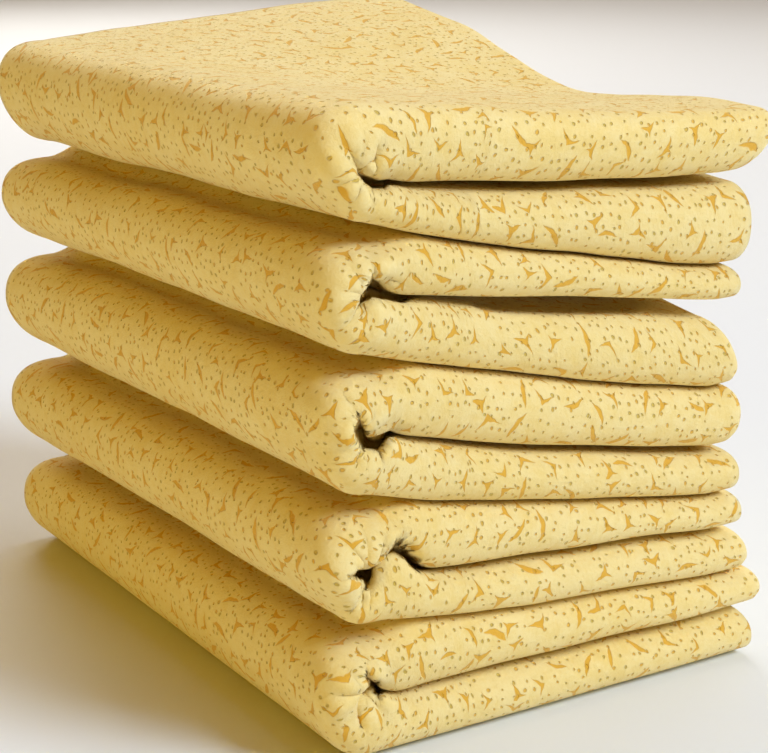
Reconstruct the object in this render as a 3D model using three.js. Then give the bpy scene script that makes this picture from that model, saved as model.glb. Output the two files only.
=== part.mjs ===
// A neat pile of five folded drying towels. Each towel is one sheet of soft needled cloth, folded
// in half lengthwise, in half across, and in half again, so that it lies eight layers deep. The last
// fold makes the fat spine at the left. The fold before it makes the round noses along the front,
// one for each of the towel's two leaves, and the cut edges lie at the back.
// Millimetres, +Z up. The front noses look along -Y and the spines look along -X.
import * as THREE from 'three';

// The folded sheet. A 600 by 430 cloth lies in four along its length and in two across its width.
const foldedLength = 150;
const foldedDepth = 215;
const layerPitch = 4.6; // one layer of cloth with the air that it holds when folded
const layerCount = 8;

// What the folds look like.
const spineReach = 15; // the spine's round back, beyond the flat of the leaves
const noseReach = 9.5; // the round noses along the front
const backReach = 4; // the cut edges at the back are nearly square
const endReach = 7; // the round end of a leaf
const cornerReach = 9; // a leaf's far corners, seen from above
const slitGap = 1.2; // between the two leaves of a towel
const seatGap = 0.3; // between one towel and the next
const settle = 0.5; // how deep the pile's own weight presses the lowest towel flat

// Beside its spine a towel's top falls clear of the towel that lies on it.
const shoulderDrop = 4;
const shoulderLength = 18;

// At the near end of the spine the turned cloth can't close, and leaves a small round mouth.
const mouthReach = 3.2;
const mouthDepth = 16;
const mouthLength = 9;

// The top towel sinks between its front fold and its raised back corner.
const dipDepth = 15;
const dipPlaceShare = 0.46;
const dipWidthShare = 0.23;

// A towel is bulky beside its spine, so it loses height faster there than further on.
const easeShare = 0.4;

// The towels from the lowest up. Heights at the near, right, far and hidden corner are shares of
// the folded height. The slit's place, from the spine to the right end, is a share of the height
// there, and its opening a share of the slit. A leaf's reach is a share of the folded length, its
// rake and its set back a share of the folded height. The lower leaf comes first. The spine drifts
// out towards its far end by a share of its reach.
const towels = [
  {
    name: 'towel_1_bottom',
    driftShare: 0,
    heightShares: [1.08, 0.69, 0.96, 0.9],
    slitShares: [0.44, 0.56],
    openShares: [0, 0.6],
    reachShares: [1.05, 1.067],
    rakeShares: [0.05, 0],
    setBackShares: [0, 0.03],
  },
  {
    name: 'towel_2',
    driftShare: 0.2,
    heightShares: [1.01, 0.66, 0.99, 0.92],
    slitShares: [0.34, 0.62],
    openShares: [0, 0.4],
    reachShares: [1.035, 1.01],
    rakeShares: [0.1, 0],
    setBackShares: [0, 0.03],
  },
  {
    name: 'towel_3',
    driftShare: 0.2,
    heightShares: [1.07, 0.9, 1.035, 1],
    slitShares: [0.45, 0.44],
    openShares: [0, 0.8],
    reachShares: [0.985, 0.99],
    rakeShares: [0, 0.06],
    setBackShares: [0.02, 0],
  },
  {
    name: 'towel_4',
    driftShare: 0.2,
    heightShares: [0.96, 1.02, 0.915, 1.03],
    slitShares: [0.48, 0.7],
    openShares: [0, 4],
    reachShares: [1.01, 0.985],
    rakeShares: [0.3, 0],
    setBackShares: [0.04, 0.02],
  },
  {
    name: 'towel_5_top',
    driftShare: 0.1,
    heightShares: [0.86, 1.32, 0.95, 1.27],
    slitShares: [0.33, 0.6],
    openShares: [0, 2],
    reachShares: [0.99, 1.065],
    rakeShares: [0, 0.42],
    setBackShares: [0, 0],
  },
];

// The block that the folded sheets make, centred on the pile's upright axis.
const foldedHeight = layerPitch * layerCount;
const longestShare = Math.max(...towels.flatMap((towel) => towel.reachShares));
const spineTip = (-foldedLength * longestShare) / 2; // at its near end
const spineAxis = spineTip + spineReach;
const front = -foldedDepth / 2;
const back = foldedDepth / 2;

const clothFinish = { color: 0xf0d48c, roughness: 0.92, metalness: 0 };

const quarterTurn = Math.PI / 2;
const lowerLeaf = 0;
const upperLeaf = 1;

// How finely the cloth is cut into faces.
const leafSteps = 8;
const spineSteps = 10;
const endSteps = 3;
const noseSteps = 4;
const depthSteps = 7;
const backSteps = 2;
const closedShare = 0.94; // the last ring of a leaf's end stops just short of closing

function blend(from, to, share) {
  return from + (to - from) * share;
}

function acrossShare(x) {
  const share = THREE.MathUtils.clamp((x - spineAxis) / foldedLength, 0, 1);
  return share * (1 + easeShare * (1 - share));
}

function alongShare(y) {
  return THREE.MathUtils.clamp((y - front) / foldedDepth, 0, 1);
}

// Height of one towel over a point of the table.
function towelHeight(towel, x, y) {
  const [near, right, far, hidden] = towel.heightShares;
  const across = acrossShare(x);
  const nearHeight = blend(near, right, across);
  const farHeight = blend(far, hidden, across);
  return foldedHeight * blend(nearHeight, farHeight, alongShare(y));
}

function dip(x, y) {
  const away = (alongShare(y) - dipPlaceShare) / dipWidthShare;
  return dipDepth * acrossShare(x) * Math.exp(-away * away);
}

// Where the towel below ends and the next begins. Neighbours share this surface, so they seat on
// each other all over and still lift straight off.
function levelUnder(index, x, y) {
  const below = towels.slice(0, index);
  const height = below.reduce((sum, towel) => sum + towelHeight(towel, x, y), 0);
  return index === towels.length ? height - dip(x, y) : height;
}

function undersideAt(index, x, y) {
  return index === 0 ? -settle : levelUnder(index, x, y) + seatGap / 2;
}

function shoulder(x) {
  return shoulderDrop * (1 - THREE.MathUtils.smoothstep(x, spineAxis, spineAxis + shoulderLength));
}

function coverAt(index, x, y) {
  return levelUnder(index + 1, x, y) - seatGap / 2;
}

function topAt(index, x, y) {
  const isTopmost = index + 1 === towels.length;
  const fall = isTopmost ? 0 : shoulder(x);
  return coverAt(index, x, y) - fall;
}

function slitAt(index, x, y) {
  const [atSpine, atEnd] = towels[index].slitShares;
  const share = blend(atSpine, atEnd, acrossShare(x));
  return blend(undersideAt(index, x, y), coverAt(index, x, y), share);
}

function mouthRadius(y) {
  return mouthReach * Math.exp((front - y) / mouthDepth);
}

function slitHalfGap(index, x, y) {
  const [atSpine, atEnd] = towels[index].openShares;
  const open = blend(atSpine, atEnd, acrossShare(x));
  const mouth = mouthRadius(y) * Math.exp((spineAxis - x) / mouthLength);
  return (slitGap * (1 + open)) / 2 + mouth;
}

// A point of a leaf. The place runs from 0 at the spine to 1 at the leaf's end, and the lift from
// 0 on the face at the slit to 1 on the outer face.
function leafPoint(index, leaf, place, y, lift) {
  const towel = towels[index];
  const reach = foldedLength * towel.reachShares[leaf] - spineReach;
  const rake = foldedHeight * towel.rakeShares[leaf] * (1 - lift);
  const x = spineAxis + place * (reach - rake * place);
  const slit = slitAt(index, x, y);
  const gap = slitHalfGap(index, x, y);
  if (leaf === lowerLeaf) {
    return new THREE.Vector3(x, y, blend(slit - gap, undersideAt(index, x, y), lift));
  }
  return new THREE.Vector3(x, y, blend(slit + gap, topAt(index, x, y), lift));
}

// A point of the spine, which turns from straight down through -X to straight up.
function spinePoint(index, turn, y, lift) {
  const underside = undersideAt(index, spineAxis, y);
  const top = topAt(index, spineAxis, y);
  const inner = slitHalfGap(index, spineAxis, y);
  const innerX = spineAxis - inner * Math.cos(turn);
  const innerZ = slitAt(index, spineAxis, y) + inner * Math.sin(turn);
  const drift = towels[index].driftShare * alongShare(y);
  const outerX = spineAxis - spineReach * (1 + drift) * Math.cos(turn);
  const outerZ = (top + underside) / 2 + ((top - underside) / 2) * Math.sin(turn);
  return new THREE.Vector3(blend(innerX, outerX, lift), y, blend(innerZ, outerZ, lift));
}

// The side of a ring from the front nose to the back: each place's depth and how far the outer
// face stands from the middle there, as a share.
function ringSide(towel, leafShare, squeeze) {
  const [lowerBack, upperBack] = towel.setBackShares;
  const setBack = foldedHeight * blend(lowerBack, upperBack, leafShare);
  const inset = cornerReach * (1 - squeeze);
  const start = front + setBack + inset;
  const finish = back - inset;
  const side = [];
  for (let step = 0; step < noseSteps; step += 1) {
    const turn = (quarterTurn * step) / noseSteps;
    side.push([start + noseReach * (1 - Math.cos(turn)), Math.sin(turn)]);
  }
  for (let step = 0; step < depthSteps; step += 1) {
    side.push([blend(start + noseReach, finish - backReach, step / depthSteps), 1]);
  }
  for (let step = 0; step <= backSteps; step += 1) {
    const turn = (quarterTurn * step) / backSteps;
    side.push([finish - backReach * (1 - Math.sin(turn)), Math.cos(turn)]);
  }
  return side;
}

// A closed ring round the leaf or the spine: out along the outer face and home along the inner.
function ring(towel, leafShare, squeeze, pointAt) {
  const side = ringSide(towel, leafShare, squeeze);
  const outer = side.map(([y, stand]) => pointAt(y, (1 + stand * squeeze) / 2));
  const inner = side.slice(1, -1).map(([y, stand]) => pointAt(y, (1 - stand * squeeze) / 2));
  return outer.concat(inner.reverse());
}

// The rings of one leaf from its far end to the spine.
function leafRings(index, leaf) {
  const towel = towels[index];
  const rings = [];
  const reach = foldedLength * towel.reachShares[leaf] - spineReach;
  const roundFrom = 1 - endReach / reach;
  for (let step = endSteps; step > 0; step -= 1) {
    const turn = (quarterTurn * closedShare * step) / endSteps;
    const place = blend(roundFrom, 1, Math.sin(turn));
    const pointAt = (y, lift) => leafPoint(index, leaf, place, y, lift);
    rings.push(ring(towel, leaf, Math.cos(turn), pointAt));
  }
  for (let step = leafSteps; step > 0; step -= 1) {
    const place = (roundFrom * step) / leafSteps;
    rings.push(ring(towel, leaf, 1, (y, lift) => leafPoint(index, leaf, place, y, lift)));
  }
  return rings;
}

function spineRings(index) {
  const rings = [];
  for (let step = 0; step <= spineSteps; step += 1) {
    const turnShare = step / spineSteps;
    const turn = blend(-quarterTurn, quarterTurn, turnShare);
    rings.push(ring(towels[index], turnShare, 1, (y, lift) => spinePoint(index, turn, y, lift)));
  }
  return rings;
}

// Joins the rings into one closed skin, with a flat strip over the ring at each end.
function skin(rings) {
  const size = rings[0].length;
  const half = size / 2;
  const positions = rings.flat().flatMap((point) => [point.x, point.y, Math.max(point.z, 0)]);
  const faces = [];
  for (let row = 0; row + 1 < rings.length; row += 1) {
    for (let place = 0; place < size; place += 1) {
      const next = (place + 1) % size;
      const a = row * size + place;
      const b = row * size + next;
      const c = a + size;
      const d = b + size;
      faces.push(a, c, b, b, c, d);
    }
  }
  const last = (rings.length - 1) * size;
  for (let place = 0; place < half; place += 1) {
    const mate = (size - place) % size;
    const a = place;
    const b = place + 1;
    const c = mate;
    const d = size - b;
    if (a !== c) {
      faces.push(a, b, c);
      faces.push(last + a, last + c, last + b);
    }
    if (b !== d) {
      faces.push(b, d, c);
      faces.push(last + b, last + c, last + d);
    }
  }
  const geometry = new THREE.BufferGeometry();
  geometry.setAttribute('position', new THREE.Float32BufferAttribute(positions, 3));
  geometry.setIndex(faces);
  geometry.computeVertexNormals();
  return geometry;
}

function foldedTowel(index) {
  const lower = leafRings(index, lowerLeaf);
  const upper = leafRings(index, upperLeaf).reverse();
  const geometry = skin([...lower, ...spineRings(index), ...upper]);
  const mesh = new THREE.Mesh(geometry, new THREE.MeshStandardMaterial(clothFinish));
  mesh.name = towels[index].name;
  return mesh;
}

const pile = new THREE.Group();
towels.forEach((towel, index) => pile.add(foldedTowel(index)));

export default pile;
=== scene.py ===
import math

import bmesh
import bpy
import numpy as np
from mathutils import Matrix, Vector, noise
from mathutils.bvhtree import BVHTree


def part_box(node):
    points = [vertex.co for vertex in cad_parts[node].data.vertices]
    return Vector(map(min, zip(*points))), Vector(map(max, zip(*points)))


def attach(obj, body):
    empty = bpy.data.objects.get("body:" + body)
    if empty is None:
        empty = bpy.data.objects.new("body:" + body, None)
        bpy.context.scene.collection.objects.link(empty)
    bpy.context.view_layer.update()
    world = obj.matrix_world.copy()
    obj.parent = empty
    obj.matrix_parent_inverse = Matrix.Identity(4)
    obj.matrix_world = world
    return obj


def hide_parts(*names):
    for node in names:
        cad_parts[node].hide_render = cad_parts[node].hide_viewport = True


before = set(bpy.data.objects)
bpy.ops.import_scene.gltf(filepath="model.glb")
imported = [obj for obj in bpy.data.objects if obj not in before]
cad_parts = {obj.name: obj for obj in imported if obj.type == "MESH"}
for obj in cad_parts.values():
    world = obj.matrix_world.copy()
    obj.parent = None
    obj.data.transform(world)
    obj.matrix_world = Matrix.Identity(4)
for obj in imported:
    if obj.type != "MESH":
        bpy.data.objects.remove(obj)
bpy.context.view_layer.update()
bpy.ops.object.select_all(action="DESELECT")


# The room that each folded towel has. Five soft towels take the shape of what is under and over
# them, and the faces of the solids give that shape: straight down through a towel lie its top, the
# two faces of the slit between its leaves, and its underside.
towel_nodes = ["towel_1_bottom", "towel_2", "towel_3", "towel_4", "towel_5_top"]
node_boxes = np.array([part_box(node) for node in towel_nodes])
pile_low = node_boxes[:, 0].min(0)
pile_high = node_boxes[:, 1].max(0)
front = pile_low[1]
back = pile_high[1]
spine_tip = node_boxes[0, 0, 0]
spine_reach = 0.015
spine_axis = spine_tip + spine_reach
nose_clearance = 0.011
edge_clearance = 0.006
probe_front = front + nose_clearance
probe_back = back - edge_clearance
probe_reach = 0.112
probe_columns = 15
probe_rows = 21
first_column = 0.001
plumb_start = 1.0
plumb_step = 0.0001
end_search = 0.002
end_step = 0.0005
overrun_share = 1.15
shape_degrees = [3, 8]
gap_degrees = [2, 1]


def heights_through(tree, x, y):
    """The heights, from the top down, at which a plumb line through a solid meets its faces."""
    heights = []
    start = Vector((x, y, plumb_start))
    step = Vector((0, 0, plumb_step))
    while True:
        place, _, _, _ = tree.ray_cast(start, Vector((0, 0, -1)))
        if place is None:
            return heights
        heights.append(place.z)
        start = place - step


def even(values, low, high):
    """Places from low to high as -1 to 1, and a little beyond where a leaf's end overruns."""
    return np.clip(2 * (values - low) / (high - low) - 1, -1, overrun_share)


class Surface:
    """A smooth height over the table, fitted to probed heights."""

    def __init__(self, points, degrees):
        x, y, z = np.array(points).T
        self.degrees = degrees
        self.shape = np.linalg.lstsq(self.terms(x, y), z, rcond=None)[0]

    def terms(self, x, y):
        across = even(x, spine_axis, spine_axis + probe_reach)
        along = np.clip(even(y, probe_front, probe_back), -1, 1)
        return np.polynomial.legendre.legvander2d(across, along, self.degrees)

    def at(self, x, y):
        return self.terms(x, y) @ self.shape


def probed(node):
    """What plumb lines find in one towel: its top, slit, opening, underside and leaf ends."""
    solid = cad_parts[node].data
    corners = [vertex.co for vertex in solid.vertices]
    tree = BVHTree.FromPolygons(corners, [face.vertices for face in solid.polygons])
    found = {"top": [], "slit": [], "opening": [], "underside": []}
    for x in np.linspace(spine_axis + first_column, spine_axis + probe_reach, probe_columns):
        for y in np.linspace(probe_front, probe_back, probe_rows):
            heights = heights_through(tree, x, y)
            if len(heights) != 4:
                continue
            top, upper_face, lower_face, underside = heights
            found["top"].append((x, y, top))
            found["slit"].append((x, y, (upper_face + lower_face) / 2))
            found["underside"].append((x, y, underside))
            if x > spine_axis + probe_reach / 3:
                found["opening"].append((x, y, upper_face - lower_face))
    middle = (front + back) / 2
    reach = {}
    last_slit = pile_high[2]
    for x in np.arange(spine_axis + probe_reach / 2, pile_high[0] + end_search, end_step):
        heights = heights_through(tree, x, middle)
        if len(heights) == 4:
            reach["both"] = x
            last_slit = (heights[1] + heights[2]) / 2
        elif len(heights) == 2:
            reach["upper" if sum(heights) / 2 > last_slit else "lower"] = x
    found["upper_end"] = reach.get("upper", reach["both"])
    found["lower_end"] = reach.get("lower", reach["both"])
    return found


probes = [probed(node) for node in towel_nodes]
slits = [Surface(probe["slit"], shape_degrees) for probe in probes]
openings = [Surface(probe["opening"], gap_degrees) for probe in probes]
levels = [Surface(probe["underside"], shape_degrees) for probe in probes]
levels.append(Surface(probes[-1]["top"], shape_degrees))


# The towels. Each is a cut sheet of thick, soft, needled cloth, printed with flecks and dots, folded
# in half along its length, then across, which makes the round noses at the front, and then round
# the fat spine at the left. Its cut edges lie at the back and at the right end of one leaf.
sheet_length = 0.600
sheet_width = 0.430
cloth = 0.0030
layer_pitch = 0.0044
quarter = math.pi / 2
folded_length = sheet_length / 4
folded_half = sheet_length / 2

# How the towels lie on each other, and how their cloth swells. A swell has its height, its length
# and the step of its random seed from one towel to the next.
seat_gap = 0.0005
shoulder_drop = 0.0055
shoulder_length = 0.018
face_swells = [(0.0011, 0.045, 3.1), (0.0004, 0.017, 5.3)]
slit_swell = (0.0009, 0.028, 2.3)
slit_seed = 9

# The noses at the front, the spine, and the leaves from the spine to their ends.
nose_reach = 0.0095
nose_square = 2.25
nose_samples = 200
noses_overlap = 0.0135
spine_points = [1.80, 2.35]
spine_overlap = 0.02
tip_rise = 0.16
turn_length = 0.03
bunch_reach = 0.022
end_round = 0.002
end_share = 0.2
back_margin = 0.0012
least_opening = 0.0005
opening_length = 0.05
mouth_fade = 0.014

# The near corner: how far its pulls, puckers, creases and hollows reach, and how deep they go.
pull_reach = 0.0065
pull_depth = 0.018
corner_depth = 0.012
pucker = 0.0022
pucker_start = 0.005
pucker_end = 0.014
ray_turns = 1.9
ray_length = 0.016
ray_seed = 7.7
hollow_depth = 0.015
hollow_reach = 0.026
hollow_right = 0.626
hollow_steepness = 0.594
hollow_easing = 2.28
opened_share = 0.4
lip_depth = 0.003
lip_rise = 0.0006
lip_breadth = 0.0016

# Where the grid of the flat sheet is fine, which is along its folds, and where it is coarse. A
# stretch has its start, its end and its step.
length_stretches = [
    (0, 0.118, 0.0026),
    (0.118, 0.132, 0.0012),
    (0.132, 0.168, 0.0007),
    (0.168, 0.182, 0.0012),
    (0.182, 0.290, 0.0026),
    (0.290, 0.310, 0.0012),
    (0.310, 0.425, 0.009),
    (0.425, 0.475, 0.003),
    (0.475, 0.600, 0.009),
]
width_stretches = [
    (0, 0.180, 0.0026),
    (0.180, 0.196, 0.0014),
    (0.196, 0.236, 0.0007),
    (0.236, 0.260, 0.002),
    (0.260, 0.430, 0.006),
]


def grid_lines(stretches):
    """The places of the grid's lines, from one edge of the sheet to the other."""
    lines = []
    for start, end, step in stretches:
        lines.extend(np.linspace(start, end, round((end - start) / step), endpoint=False))
    lines.append(stretches[-1][1])
    return np.array(lines)


def arc(across, up):
    """About a quarter of the way round an ellipse."""
    return quarter * np.sqrt((across**2 + up**2) / 2)


def mix(low, high, share):
    return low + (high - low) * share


def smooth(share):
    share = np.clip(share, 0, 1)
    return share * share * (3 - 2 * share)


def round_nose(way, power):
    """The height and reach of a nose, by the way round it from -1 to 1, at an even pace.

    A power over 2 makes it squarer than a circle, and one under 2 more pointed."""
    angles = np.linspace(0, quarter, nose_samples)
    heights = np.sin(angles) ** (2 / power)
    reaches = np.cos(angles) ** (2 / power)
    steps = np.hypot(np.diff(heights), np.diff(reaches))
    ways = np.concatenate([[0], np.cumsum(steps)]) / steps.sum()
    height = np.interp(np.abs(way), ways, heights) * np.sign(way)
    return height, np.interp(np.abs(way), ways, reaches)


def wave(x, y, length, seed):
    """A soft random swell over the table, from -1 to 1."""
    places = np.stack([x / length + seed, y / length - seed, np.full_like(x, seed / 3)], 1)
    return np.array([noise.noise(Vector(place)) for place in places])


def swell(level, x, y):
    """How far the cloth between two towels rises and sinks, which both of them follow."""
    if level == 0:
        return np.zeros_like(x)
    return sum(height * wave(x, y, length, level * seed) for height, length, seed in face_swells)


def underside_at(index, x, y):
    return levels[index].at(x, y) + swell(index, x, y) + seat_gap / 2


def top_at(index, x, y):
    """A towel's top, which falls clear of the towel that lies on it beside the spine."""
    cover = levels[index + 1].at(x, y) + swell(index + 1, x, y) - seat_gap / 2
    if index + 1 == len(towel_nodes):
        return cover
    return cover - shoulder_drop * (1 - smooth((x - spine_axis) / shoulder_length))


def slit_at(towel, x, y):
    index = towel["index"]
    height, length, seed = slit_swell
    return slits[index].at(x, y) + height * wave(x, y, length, index * seed + slit_seed)


def half_opening(towel, x, y):
    index = towel["index"]
    opening = np.maximum(openings[index].at(x, y), least_opening)
    opening = mix(least_opening, opening, smooth((x - spine_axis) / opening_length))
    for centre, width, extra in towel["gapes"]:
        away = (x - spine_tip - centre) / width
        opening = opening + extra * np.exp(-away * away - np.maximum(y - front, 0) / mouth_fade)
    return opening / 2


def folded(towel, length, width):
    """The place of each point of the flat sheet once the towel is folded."""
    index = towel["index"]

    # The first fold lays the far half of the sheet inside the near half.
    radius = layer_pitch / 2
    turn = np.clip((length - folded_half) / radius, -quarter, quarter)
    sunk = cloth / 2 + radius * (1 + np.sin(turn))
    straight = np.maximum(np.abs(length - folded_half) - radius * quarter, 0)
    place = folded_half - radius * quarter - straight + radius * np.cos(turn)
    if towel["closed_end"] == "lower":
        place = folded_half - place
    beyond = place - folded_length

    # The second fold makes the noses. Their height is that of the leaf about where they lie.
    rough_x = spine_axis + np.maximum(np.abs(beyond) - spine_overlap, 0)
    rough_y = front + np.maximum(np.abs(width - sheet_width / 2) - noses_overlap, 0)
    underside = underside_at(index, rough_x, rough_y)
    top = top_at(index, rough_x, rough_y)
    slit = slit_at(towel, rough_x, rough_y)
    gap = half_opening(towel, rough_x, rough_y)
    upper = smooth(beyond / turn_length + 0.5)
    leaf_height = mix(slit - gap - underside, top - slit - gap, upper)
    reach = nose_reach - sunk
    half_height = leaf_height / 2 - sunk
    nose_arc = arc(reach, half_height)
    past = width - sheet_width / 2
    sine, cosine = round_nose(np.clip(past / nose_arc, -1, 1), nose_square)
    straight = np.maximum(np.abs(past) - nose_arc, 0)
    straight = straight * (back - front - nose_reach - back_margin) / (sheet_width / 2 - nose_arc)
    y = front + sunk + reach * (1 - cosine) + straight
    lift = 0.5 - (0.5 - sunk / leaf_height) * sine

    # The third fold turns the upper leaf round the spine.
    axis = np.full_like(y, spine_axis)
    mouth_share = np.exp(-np.maximum(y - front, 0) / mouth_fade)
    inner_axis = spine_axis - towel["mouth_reach"] * mouth_share
    spine_underside = underside_at(index, axis, y)
    spine_top = top_at(index, axis, y)
    spine_slit = slit_at(towel, inner_axis, y)
    spine_gap = half_opening(towel, inner_axis, y)
    out = mix(spine_gap, spine_reach, lift)
    up = mix(spine_gap, (spine_top - spine_underside) / 2, lift)
    spine_arc = arc(out, up)
    way = np.clip(beyond / spine_arc, -1, 1)
    on_leaf = np.abs(beyond) > spine_arc
    spine_centre = mix(spine_slit, (spine_top + spine_underside) / 2, lift)
    lower_sine, lower_cosine = round_nose(way, spine_points[0])
    upper_sine, upper_cosine = round_nose(way, spine_points[1])
    sine = np.where(way < 0, lower_sine, upper_sine)
    cosine = np.where(way < 0, lower_cosine, upper_cosine)
    drift = towel["far_drift"] * np.clip((y - front) / (back - front), 0, 1)
    spine_x = mix(inner_axis, spine_axis, lift) - (out + drift * lift) * cosine
    spine_z = spine_centre + up * (sine + tip_rise * cosine**2)

    # The leaves lie on each other from the spine to their ends. The inner layers have length to
    # spare where they come off the spine, and bunch up there.
    outer_arc = arc(spine_reach, (spine_top - spine_underside) / 2)
    bunched_to = outer_arc + bunch_reach
    bunched = np.clip((np.abs(beyond) - spine_arc) / (bunched_to - spine_arc), 0, 1)
    bunched = bunch_reach * bunched ** ((bunched_to - spine_arc) / bunch_reach)
    laid = np.where(np.abs(beyond) < bunched_to, bunched, np.abs(beyond) - outer_arc)
    share = laid / (folded_length - outer_arc)
    is_upper = beyond > 0
    probe = probes[index]
    margin = np.where(is_upper, towel["end_margins"][1], towel["end_margins"][0])
    end = np.where(is_upper, probe["upper_end"], probe["lower_end"]) - margin
    rake = np.where(is_upper, towel["rakes"][1], towel["rakes"][0])
    at_end = smooth((share - (1 - end_share)) / end_share)
    rounding = end_round * np.abs(2 * lift - 1) ** 3 * at_end
    start = mix(inner_axis, spine_axis, lift)
    leaf_x = start + share * (end - start - rake * share * (1 - lift)) - rounding
    leaf_underside = underside_at(index, leaf_x, y)
    leaf_top = top_at(index, leaf_x, y)
    leaf_slit = slit_at(towel, leaf_x, y)
    leaf_gap = half_opening(towel, leaf_x, y)
    upper_z = mix(leaf_slit + leaf_gap, leaf_top, lift)
    lower_z = mix(leaf_slit - leaf_gap, leaf_underside, lift)
    leaf_z = np.where(is_upper, upper_z, lower_z)

    x = np.where(on_leaf, leaf_x, spine_x)
    z = np.where(on_leaf, leaf_z, spine_z)
    return np.stack([x, y, z], 1)


def path_distance(x, z, path):
    """How far points lie from a bent line."""
    nearest = np.full_like(x, np.inf)
    for (x0, z0), (x1, z1) in zip(path, path[1:]):
        run, rise = x1 - x0, z1 - z0
        share = np.clip(((x - x0) * run + (z - z0) * rise) / (run * run + rise * rise), 0, 1)
        nearest = np.minimum(nearest, np.hypot(x - x0 - run * share, z - z0 - rise * share))
    return nearest


def inside(x, z, outline):
    """How far points lie inside a closed outline, below zero where they lie outside."""
    closed = outline + outline[:1]
    within = np.zeros(len(x), bool)
    for (x0, z0), (x1, z1) in zip(closed, closed[1:]):
        crosses = (z0 > z) != (z1 > z)
        rise = z1 - z0 if z1 != z0 else 1.0
        within ^= crosses & (x < x0 + (z - z0) * (x1 - x0) / rise)
    return path_distance(x, z, closed) * np.where(within, 1, -1)


def hollow_fall(height):
    """How steeply a hollow runs down as it runs in, which is steeper in the lower towels."""
    return hollow_steepness - hollow_easing * height


def pulled(towel, points):
    """Pulls the slit's end at the near corner into the bent line that the cloth's bulk gives it."""
    starts = np.array([start for start, _, _ in towel["mouth_line"]])
    heights = slit_at(towel, starts + spine_tip, np.full_like(starts, front))
    held = np.stack([starts, heights], 1)
    moves = np.zeros_like(held)
    for move, (start, right, up), height in zip(moves, towel["mouth_line"], heights):
        if right is not None:
            move[0] = right + hollow_right * lip_depth - start
            move[1] = up - hollow_fall(up) * lip_depth - height

    def pull(places):
        apart = np.hypot(*(places[:, None] - held[None]).transpose(2, 0, 1))
        return np.exp(-((apart / pull_reach) ** 2))

    weights = np.linalg.solve(pull(held), moves)
    near = np.exp(-(((points[:, 1] - front) / pull_depth) ** 2))
    places = points[:, [0, 2]] - np.array([spine_tip, 0])
    shifted = points.copy()
    shifted[:, [0, 2]] += pull(places) @ weights * near[:, None]
    return shifted


def crumpled(towel, points):
    """Puckers, creases and hollows the near corner, where the noses turn into each other."""
    x, y, z = points.T.copy()
    right, height = x - spine_tip, z
    near = np.exp(-(((y - front) / corner_depth) ** 2))
    centre_x, centre_z = towel["mouth"]
    out = np.hypot(right - centre_x, height - centre_z)
    angle = np.arctan2(height - centre_z, right - centre_x)
    across, up = ray_turns * np.cos(angle), ray_turns * np.sin(angle)
    seed = Vector((0, 0, ray_seed * towel["index"]))
    places = np.stack([across, up, out / ray_length], 1)
    rays = np.array([noise.noise(Vector(place) + seed) for place in places])
    started = smooth(out / pucker_start)
    ended = np.exp(-((out / pucker_end) ** 4))
    y = y + pucker * rays * started * ended * near
    for path, depth, breadth in towel["creases"]:
        distance = path_distance(right, height, path)
        y = y + depth * np.exp(-((distance / breadth) ** 2)) * near

    # A hollow runs in from its outline, to the right and down as the photograph looks into it, and
    # grows shallower the further in the cloth lies.
    inward = y - front
    fade = np.clip(1 - inward / hollow_reach, 0, 1)
    fall = hollow_fall(z)
    for edge, outline in towel["hollows"]:
        within = inside(right - hollow_right * inward, height + fall * inward, outline) + cloth / 2
        lip = np.exp(-((within / lip_breadth) ** 2)) * lip_rise
        opened = smooth(within / edge + opened_share)
        push = (hollow_depth * opened - lip) * fade
        x = x + hollow_right * push
        y = y + push
        z = z - fall * push
    return np.stack([x, y, z], 1)


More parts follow.
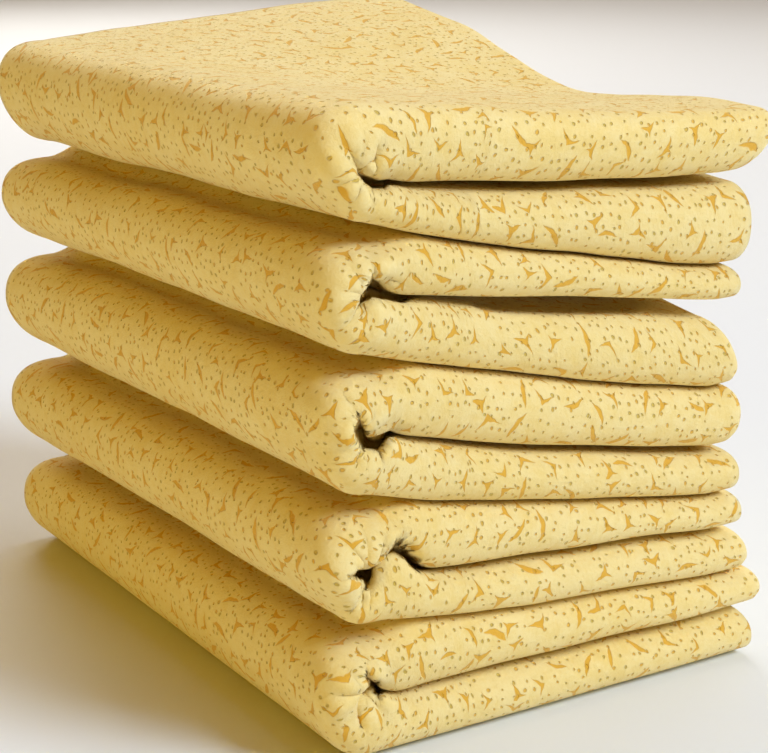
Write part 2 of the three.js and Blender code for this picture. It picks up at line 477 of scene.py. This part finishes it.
# The towels from the lowest up, each with its lower leaf first. A leaf ends its margin short of the
# solid's end, and its inner layers end a rake further back. Places at the near corner are measured
# to the right from the spine's tip, and up. A mouth's line has places along the slit, and where each
# one is pulled to. A gape has its place, its length and how much it opens, a hollow the softness of
# its rim and its outline, and a crease its path, its depth and its breadth.
towels = [
    {
        "name": "bottom_towel_cloth",
        "body": "bottom_towel",
        "closed_end": "upper",
        "far_drift": 0,
        "end_margins": [0.0030, 0.0030],
        "rakes": [0.002, 0],
        "mouth_reach": 0.005,
        "mouth_line": [(0.0100, 0.0110, 0.0215), (0.0165, 0.0165, 0.0227), (0.0250, None, None)],
        "gapes": [],
        "mouth": (0.013, 0.022),
        "hollows": [
            (0.001, [
                (0.0120, 0.0272), (0.0151, 0.0246), (0.0163, 0.0208), (0.0150, 0.0215), (0.0142, 0.0243),
            ]),
        ],
        "creases": [
            ([(0.0138, 0.0226), (0.0111, 0.0205), (0.0107, 0.0170), (0.0112, 0.0120)], 0.004, 0.0008)
        ],
    },
    {
        "name": "second_towel_cloth",
        "body": "second_towel",
        "closed_end": "lower",
        "far_drift": 0.0030,
        "end_margins": [0.0008, 0.0053],
        "rakes": [0.004, 0],
        "mouth_reach": 0.006,
        "mouth_line": [
            (0.0090, 0.0089, 0.0575),
            (0.0140, 0.0135, 0.0572),
            (0.0180, 0.0177, 0.0602),
            (0.0215, 0.0212, 0.0632),
            (0.0303, 0.0309, 0.0546),
            (0.0390, None, None),
        ],
        "gapes": [],
        "mouth": (0.014, 0.0575),
        "hollows": [
            (0.001, [
                (0.0187, 0.0617), (0.0212, 0.0641), (0.0248, 0.0614), (0.0281, 0.0571), (0.0309, 0.0546),
                (0.0274, 0.0557), (0.0240, 0.0598), (0.0210, 0.0622),
            ]),
            (0.001, [
                (0.0074, 0.0576), (0.0098, 0.0588), (0.0140, 0.0580), (0.0137, 0.0550), (0.0121, 0.0536),
                (0.0112, 0.0560), (0.0086, 0.0570),
            ]),
        ],
        "creases": [
            ([(0.0118, 0.0530), (0.0095, 0.0467)], 0.0012, 0.0008),
            ([(0.0138, 0.0540), (0.0121, 0.0467)], 0.0014, 0.0008),
            ([(0.0160, 0.0560), (0.0143, 0.0474)], 0.0012, 0.0008),
            ([(0.0225, 0.0680), (0.0260, 0.0650), (0.0297, 0.0590)], 0.0010, 0.0009),
        ],
    },
    {
        "name": "middle_towel_cloth",
        "body": "middle_towel",
        "closed_end": "upper",
        "far_drift": 0.0032,
        "end_margins": [0.0035, 0.0008],
        "rakes": [0, 0.002],
        "mouth_reach": 0.006,
        "mouth_line": [
            (0.0085, 0.0098, 0.0992),
            (0.0130, 0.0118, 0.0938),
            (0.0185, 0.0186, 0.0942),
            (0.0280, None, None),
        ],
        "gapes": [],
        "mouth": (0.012, 0.095),
        "hollows": [
            (0.001, [
                (0.0101, 0.1006), (0.0084, 0.0982), (0.0106, 0.0928), (0.0162, 0.0914), (0.0190, 0.0946),
                (0.0156, 0.0943), (0.0122, 0.0948), (0.0114, 0.0985),
            ]),
        ],
        "creases": [
            ([(0.0080, 0.1051), (0.0074, 0.1106)], 0.0011, 0.0009),
            ([(0.0119, 0.0918), (0.0103, 0.0888)], 0.0010, 0.0008),
            ([(0.0162, 0.0914), (0.0178, 0.0880)], 0.0010, 0.0008),
        ],
    },
    {
        "name": "fourth_towel_cloth",
        "body": "fourth_towel",
        "closed_end": "lower",
        "far_drift": 0.0028,
        "end_margins": [0.0005, 0.0067],
        "rakes": [0.011, 0],
        "mouth_reach": 0.006,
        "mouth_line": [
            (0.0090, 0.0102, 0.1324),
            (0.0148, 0.0144, 0.1358),
            (0.0252, 0.0252, 0.1313),
            (0.0340, None, None),
        ],
        "gapes": [(0.080, 0.030, 0.0015)],
        "mouth": (0.013, 0.1335),
        "hollows": [
            (0.001, [
                (0.0098, 0.1318), (0.0120, 0.1347), (0.0139, 0.1386), (0.0160, 0.1370), (0.0183, 0.1345),
                (0.0218, 0.1326), (0.0254, 0.1313), (0.0233, 0.1306), (0.0190, 0.1320), (0.0141, 0.1332),
            ]),
            (0.003, [
                (0.0481, 0.1262), (0.0546, 0.1270), (0.0783, 0.1245), (0.1070, 0.1197), (0.1023, 0.1178),
                (0.0750, 0.1208), (0.0547, 0.1241),
            ]),
        ],
        "creases": [([(0.0160, 0.1400), (0.0220, 0.1370), (0.0270, 0.1345)], 0.0009, 0.0009)],
    },
    {
        "name": "top_towel_cloth",
        "body": "top_towel",
        "closed_end": "upper",
        "far_drift": 0.0014,
        "end_margins": [0.0043, -0.0030],
        "rakes": [0, 0.015],
        "mouth_reach": 0.005,
        "mouth_line": [
            (0.0100, 0.0100, 0.1655),
            (0.0150, 0.0150, 0.1626),
            (0.0200, 0.0200, 0.1621),
            (0.0300, None, None),
        ],
        "gapes": [(0.045, 0.022, 0.0018)],
        "mouth": (0.011, 0.165),
        "hollows": [
            (0.001, [
                (0.0097, 0.1659), (0.0135, 0.1646), (0.0175, 0.1628), (0.0180, 0.1614), (0.0140, 0.1617),
            ]),
        ],
        "creases": [
            ([(0.0160, 0.1720), (0.0165, 0.1665)], 0.0010, 0.0008),
            ([(0.0083, 0.1720), (0.0098, 0.1693), (0.0121, 0.1671)], 0.0009, 0.0008),
            ([(0.0222, 0.1615), (0.0255, 0.1578)], 0.0013, 0.0008),
            ([(0.0255, 0.1613), (0.0306, 0.1577)], 0.0013, 0.0008),
            ([(0.0190, 0.1610), (0.0199, 0.1588)], 0.0009, 0.0008),
        ],
    },
]


class Link:
    """One output in a material, so that its maths reads as an expression."""

    def __init__(self, tree, socket):
        self.tree = tree
        self.socket = socket

    def node(self, kind, settings, inputs, output=0):
        made = self.tree.nodes.new(kind)
        for name, value in settings.items():
            setattr(made, name, value)
        for place, value in inputs.items():
            if isinstance(value, Link):
                self.tree.links.new(value.socket, made.inputs[place])
            else:
                made.inputs[place].default_value = value
        return Link(self.tree, made.outputs[output])

    def maths(self, operation, *values):
        return self.node("ShaderNodeMath", {"operation": operation}, dict(enumerate(values)))

    def vector(self, operation, *values):
        return self.node("ShaderNodeVectorMath", {"operation": operation}, dict(enumerate(values)))

    def blend(self, low, high):
        inputs = {"Factor": self, 6: low, 7: high}
        return self.node("ShaderNodeMix", {"data_type": "RGBA"}, inputs, 2)

    def between(self, low, high):
        """0 below low, 1 above high, and smooth between."""
        settings = {"interpolation_type": "SMOOTHSTEP"}
        return self.node("ShaderNodeMapRange", settings, {0: self, 1: low, 2: high})

    def part(self, axis):
        return self.node("ShaderNodeSeparateXYZ", {}, {0: self}, axis)

    def __add__(self, other):
        return self.maths("ADD", self, other)

    def __radd__(self, other):
        return self.maths("ADD", other, self)

    def __sub__(self, other):
        return self.maths("SUBTRACT", self, other)

    def __rsub__(self, other):
        return self.maths("SUBTRACT", other, self)

    def __mul__(self, other):
        return self.maths("MULTIPLY", self, other)

    def __rmul__(self, other):
        return self.maths("MULTIPLY", other, self)

    def __truediv__(self, other):
        return self.maths("DIVIDE", self, other)


def cells(place, size, jitter):
    """Scattered cells: the way from each cell's middle, the distance to it, and a random colour."""
    settings = {"voronoi_dimensions": "2D", "feature": "F1"}
    inputs = {"Vector": place, "Scale": 1 / size, "Randomness": jitter}
    distance = place.node("ShaderNodeTexVoronoi", settings, inputs)
    texture = distance.socket.node
    middle = Link(place.tree, texture.outputs["Position"])
    chance = Link(place.tree, texture.outputs["Color"])
    return place.vector("SUBTRACT", place, middle), distance * size, chance


def flecks(place):
    """Small three-pointed shards, bent slivers and chevrons, each turned its own way.

    Each shape is about how far a point lies inside it, in metres, and below zero outside it."""
    spacing, scatter = 0.0086, 0.7
    smallest, growth = 0.64, 0.34
    shards_below, slivers_above = 0.42, 0.72
    shard_reach, shard_waist, shard_lean = 0.0049, 3.1, 0.25
    sliver_reach, sliver_breadth, sliver_bend, sliver_lift = 0.0047, 0.00085, 45, 0.0004
    chevron_reach, chevron_breadth, chevron_slope, chevron_lift = 0.0040, 0.00100, 0.75, 0.0010
    faint_edge, full_edge = -0.00016, 0.00022

    way, _, chance = cells(place, spacing, scatter)
    kind, spin, scale = chance.part(0), chance.part(1), chance.part(2)
    angle = spin * (2 * math.pi)
    turned = way.node(
        "ShaderNodeVectorRotate", {"rotation_type": "Z_AXIS"}, {"Vector": way, "Angle": angle}
    )
    grown = smallest + scale * growth
    x = turned.part(0) / grown
    y = turned.part(1) / grown

    out = x.maths("SQRT", x * x + y * y)
    round_angle = x.maths("ARCTAN2", y, x)
    points = x.maths("ABSOLUTE", x.maths("SINE", round_angle * 1.5))
    uneven = (1 - shard_lean) + shard_lean * x.maths("COSINE", round_angle + scale * 6)
    shard = shard_reach * uneven / (1 + shard_waist * points) - out

    along = x / sliver_reach
    bent = y - sliver_bend * x * x + sliver_lift
    sliver = sliver_breadth * (1 - along * along) - x.maths("ABSOLUTE", bent)

    arm = x.maths("ABSOLUTE", x)
    from_arm = x.maths("ABSOLUTE", y - chevron_slope * arm + chevron_lift)
    chevron = chevron_breadth * (1 - arm / chevron_reach) - from_arm

    is_shard = kind.maths("LESS_THAN", kind, shards_below)
    is_sliver = kind.maths("GREATER_THAN", kind, slivers_above)
    is_chevron = 1 - is_shard - is_sliver
    shape = is_shard * shard + is_sliver * sliver + is_chevron * chevron
    return shape.between(faint_edge, full_edge)


def dots(place):
    """Small round dots of uneven size, with a gap here and there, and each one's random tint."""
    spacing, scatter = 0.0029, 0.75
    smallest, growth, gaps_share = 0.00030, 0.00022, 0.16
    faint_edge, full_edge = -0.00014, 0.00018
    _, distance, chance = cells(place, spacing, scatter)
    radius = smallest + chance.part(0) * growth
    shown = chance.part(1).maths("GREATER_THAN", chance.part(1), gaps_share)
    return (radius - distance).between(faint_edge, full_edge) * shown, chance.part(2)


def fine_noise(place, size, detail, roughness):
    settings = {"noise_dimensions": "3D"}
    inputs = {"Vector": place, "Scale": 1 / size, "Detail": detail, "Roughness": roughness}
    return place.node("ShaderNodeTexNoise", settings, inputs)


def cloth_material(name, printed):
    """Needled cloth the colour of butter, with an orange print that sits a little sunk in it."""
    material = bpy.data.materials.new(name)
    material.use_nodes = True
    tree = material.node_tree
    shader = tree.nodes["Principled BSDF"]
    sheet_map = tree.nodes.new("ShaderNodeUVMap")
    sheet_map.uv_map = "sheet"
    place = Link(tree, sheet_map.outputs["UV"])
    mottle = fine_noise(place, 0.030, 3, 0.55)
    fibres = fine_noise(place, 0.0011, 4, 0.8)
    lumps = fine_noise(place, 0.0045, 2, 0.5)
    pale = (0.915, 0.758, 0.350, 1)
    deep = (0.872, 0.675, 0.240, 1)
    shade = (mottle * 0.35 + lumps * 0.35 + fibres * 0.3).between(0.36, 0.62)
    colour = shade.blend(deep, pale)
    height = 0.50 * lumps + 0.50 * fibres
    if printed:
        # The print's edges wander a little, as they do where ink soaks into fibres.
        furthest = (0.0011, 0.0011, 0.0011)
        soaking = {"Vector": place, "Scale": 420, "Detail": 1}
        wander = place.node("ShaderNodeTexNoise", {}, soaking, 1)
        centred = place.vector("SUBTRACT", wander, (0.5, 0.5, 0.5))
        shifted = place.vector("MULTIPLY_ADD", centred, furthest, place)
        fleck = flecks(shifted)
        dot, tint = dots(shifted)
        orange = (0.77, 0.42, 0.030, 1)
        olive = (0.60, 0.42, 0.060, 1)
        ink = tint.between(0.2, 0.9).blend(orange, olive)
        worn = 0.86 + 0.14 * fibres
        colour = (dot * 0.9 * worn).blend(colour, ink)
        colour = (fleck * worn).blend(colour, orange)
        height = height - 0.5 * dot - 0.25 * fleck
    tree.links.new(colour.socket, shader.inputs["Base Color"])
    relief = {"Strength": 0.9, "Distance": 0.0009, "Height": height}
    bump = height.node("ShaderNodeBump", {}, relief)
    tree.links.new(bump.socket, shader.inputs["Normal"])
    shader.inputs["Roughness"].default_value = 0.88
    shader.inputs["Specular IOR Level"].default_value = 0.25
    shader.inputs["Sheen Weight"].default_value = 0.35
    shader.inputs["Sheen Roughness"].default_value = 0.45
    shader.inputs["Sheen Tint"].default_value = (1.0, 0.93, 0.75, 1)
    return material


printed_cloth = cloth_material("printed_cloth", True)
cut_edge = cloth_material("cut_edge_fibres", False)
columns = grid_lines(length_stretches)
rows = grid_lines(width_stretches)
print_shift = 0.7
corner_length = 0.060
corner_width = 0.045

# Each towel is a flat grid that is folded, pulled and creased point by point, and then thickened.
# It has its own part of the endless print.
for index, towel in enumerate(towels):
    towel["index"] = index
    bpy.ops.object.select_all(action="DESELECT")
    bpy.ops.mesh.primitive_grid_add(
        x_subdivisions=len(columns) - 1, y_subdivisions=len(rows) - 1, size=2, calc_uvs=True
    )
    piece = bpy.context.object
    piece.name = towel["name"]
    piece.data.name = towel["name"]
    mesh = piece.data

    flat = np.zeros(len(mesh.vertices) * 3)
    mesh.vertices.foreach_get("co", flat)
    flat = flat.reshape(-1, 3)
    column = np.rint((flat[:, 0] + 1) / 2 * (len(columns) - 1)).astype(int)
    row = np.rint((flat[:, 1] + 1) / 2 * (len(rows) - 1)).astype(int)
    length = columns[column]
    width = rows[row]

    sheet_map = mesh.uv_layers[0]
    sheet_map.name = "sheet"
    corners = np.zeros(len(mesh.loops), int)
    mesh.loops.foreach_get("vertex_index", corners)
    sheet_place = np.stack([length[corners], width[corners]], 1) + print_shift * index
    sheet_map.data.foreach_set("uv", sheet_place.ravel())

    points = crumpled(towel, pulled(towel, folded(towel, length, width)))
    mesh.vertices.foreach_set("co", points.ravel())
    mesh.update()

    # The print was made on flat cloth, so round the near corner it is laid with the least stretch.
    bpy.ops.object.mode_set(mode="EDIT")
    sheet = bmesh.from_edit_mesh(mesh)
    print_map = sheet.loops.layers.uv["sheet"]
    at_corner = np.abs(length - folded_length) < corner_length
    at_corner &= np.abs(width - sheet_width / 2) < corner_width
    for face in sheet.faces:
        face.select_set(all(at_corner[corner.index] for corner in face.verts))
    for face in sheet.faces:
        for corner in face.loops:
            if face.select and not all(other.select for other in corner.vert.link_faces):
                corner[print_map].pin_uv = True
    bmesh.update_edit_mesh(mesh)
    bpy.ops.uv.unwrap(
        method="MINIMUM_STRETCH", correct_aspect=False, iterations=12, no_flip=True
    )
    bpy.ops.object.mode_set(mode="OBJECT")

    mesh.materials.append(printed_cloth)
    mesh.materials.append(cut_edge)
    thicken = piece.modifiers.new("thickness", "SOLIDIFY")
    thicken.thickness = cloth
    thicken.offset = 0
    thicken.material_offset_rim = 1
    bpy.ops.object.modifier_apply(modifier=thicken.name)
    bpy.ops.object.shade_smooth()

    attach(piece, towel["body"])
    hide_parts(towel_nodes[index])
    towel["piece"] = piece
    towel["under"] = "floor" if index == 0 else towels[index - 1]["name"]


# The floor, a wide, matt, pale sheet that the pile stands on. It is there for the picture only, and
# lies just under the pile so that the two faces never meet.
floor_size = 5.4
floor_drop = 0.0002
floor_colour = (0.80, 0.84, 0.87, 1)
floor_roughness = 0.8
bpy.ops.mesh.primitive_plane_add(size=floor_size, location=(0, 0, -floor_drop))
floor = bpy.context.object
floor.name = "floor"
floor_finish = bpy.data.materials.new("pale_floor")
floor_finish.use_nodes = True
floor_shader = floor_finish.node_tree.nodes["Principled BSDF"]
floor_shader.inputs["Base Color"].default_value = floor_colour
floor_shader.inputs["Roughness"].default_value = floor_roughness
floor.data.materials.append(floor_finish)


# The lights. A large soft lamp stands in front and to the right, with weak ones above, behind and
# low at the left. A weak warm glow comes from all round, which only fills the shade: what the
# camera itself sees beyond the floor is a pale backdrop.
key_cool = (0.75, 0.86, 1.0)
top_cool = (0.9, 0.94, 1.0)
left_warm = (1.0, 0.82, 0.15)
back_warm = (1.0, 0.96, 0.90)
glow_colour = (1.0, 0.52, 0.05, 1)
glow_strength = 0.25
backdrop_colour = (0.90, 0.90, 0.88, 1)


def area_lamp(name, place, aim, size, spread, power, colour):
    """A round soft lamp. Its size is in metres, its spread in degrees and its power in watts."""
    lamp = bpy.data.lights.new(name, "AREA")
    lamp.shape = "DISK"
    lamp.size = size
    lamp.spread = math.radians(spread)
    lamp.energy = power
    lamp.color = colour
    holder = bpy.data.objects.new(name, lamp)
    bpy.context.scene.collection.objects.link(holder)
    holder.location = place
    holder.rotation_euler = (Vector(aim) - Vector(place)).to_track_quat("-Z", "Y").to_euler()


area_lamp(
    "key_lamp", place=(1.9, -2.7, 2.5), aim=(0, 0, 0.08), size=1.8, spread=180, power=162, colour=key_cool
)
area_lamp(
    "top_lamp", place=(0.3, 0.2, 1.6), aim=(0, 0, 0.1), size=1.0, spread=180, power=8, colour=top_cool
)
area_lamp(
    "left_lamp", place=(-2.2, -0.45, 0.14), aim=(-0.08, 0, 0.09), size=0.26, spread=50, power=1,
    colour=left_warm,
)
area_lamp(
    "back_lamp", place=(0.6, 1.7, 0.9), aim=(0, 0, 0.08), size=1.0, spread=180, power=12, colour=back_warm
)
room = bpy.data.worlds.new("room")
room.use_nodes = True
glow = room.node_tree.nodes["Background"]
glow.inputs["Color"].default_value = glow_colour
glow.inputs["Strength"].default_value = glow_strength
backdrop = room.node_tree.nodes.new("ShaderNodeBackground")
backdrop.inputs["Color"].default_value = backdrop_colour
seen = room.node_tree.nodes.new("ShaderNodeLightPath")
choice = room.node_tree.nodes.new("ShaderNodeMixShader")
room.node_tree.links.new(seen.outputs["Is Camera Ray"], choice.inputs[0])
room.node_tree.links.new(glow.outputs["Background"], choice.inputs[1])
room.node_tree.links.new(backdrop.outputs["Background"], choice.inputs[2])
world_output = room.node_tree.nodes["World Output"]
room.node_tree.links.new(choice.outputs["Shader"], world_output.inputs["Surface"])
bpy.context.scene.world = room
bpy.context.scene.view_settings.view_transform = "Standard"


# The camera stands in front of the near corner, a little above the pile, as in the photograph. Its
# turn and tilt are in radians, and its sensor's width in millimetres.
photo_width = 768
focal_pixels = 2001.6
sensor_width = 36
camera_place = (-0.3297, -0.5344, 0.2569)
camera_turn = 0.5597
camera_tilt = 0.2813
camera_data = bpy.data.cameras.new("camera")
camera_data.sensor_width = sensor_width
camera_data.lens = camera_data.sensor_width * focal_pixels / photo_width
camera = bpy.data.objects.new("camera", camera_data)
bpy.context.scene.collection.objects.link(camera)
camera.location = camera_place
camera.rotation_euler = (quarter - camera_tilt, 0, -camera_turn)
bpy.context.scene.camera = camera

bpy.context.view_layer.update()
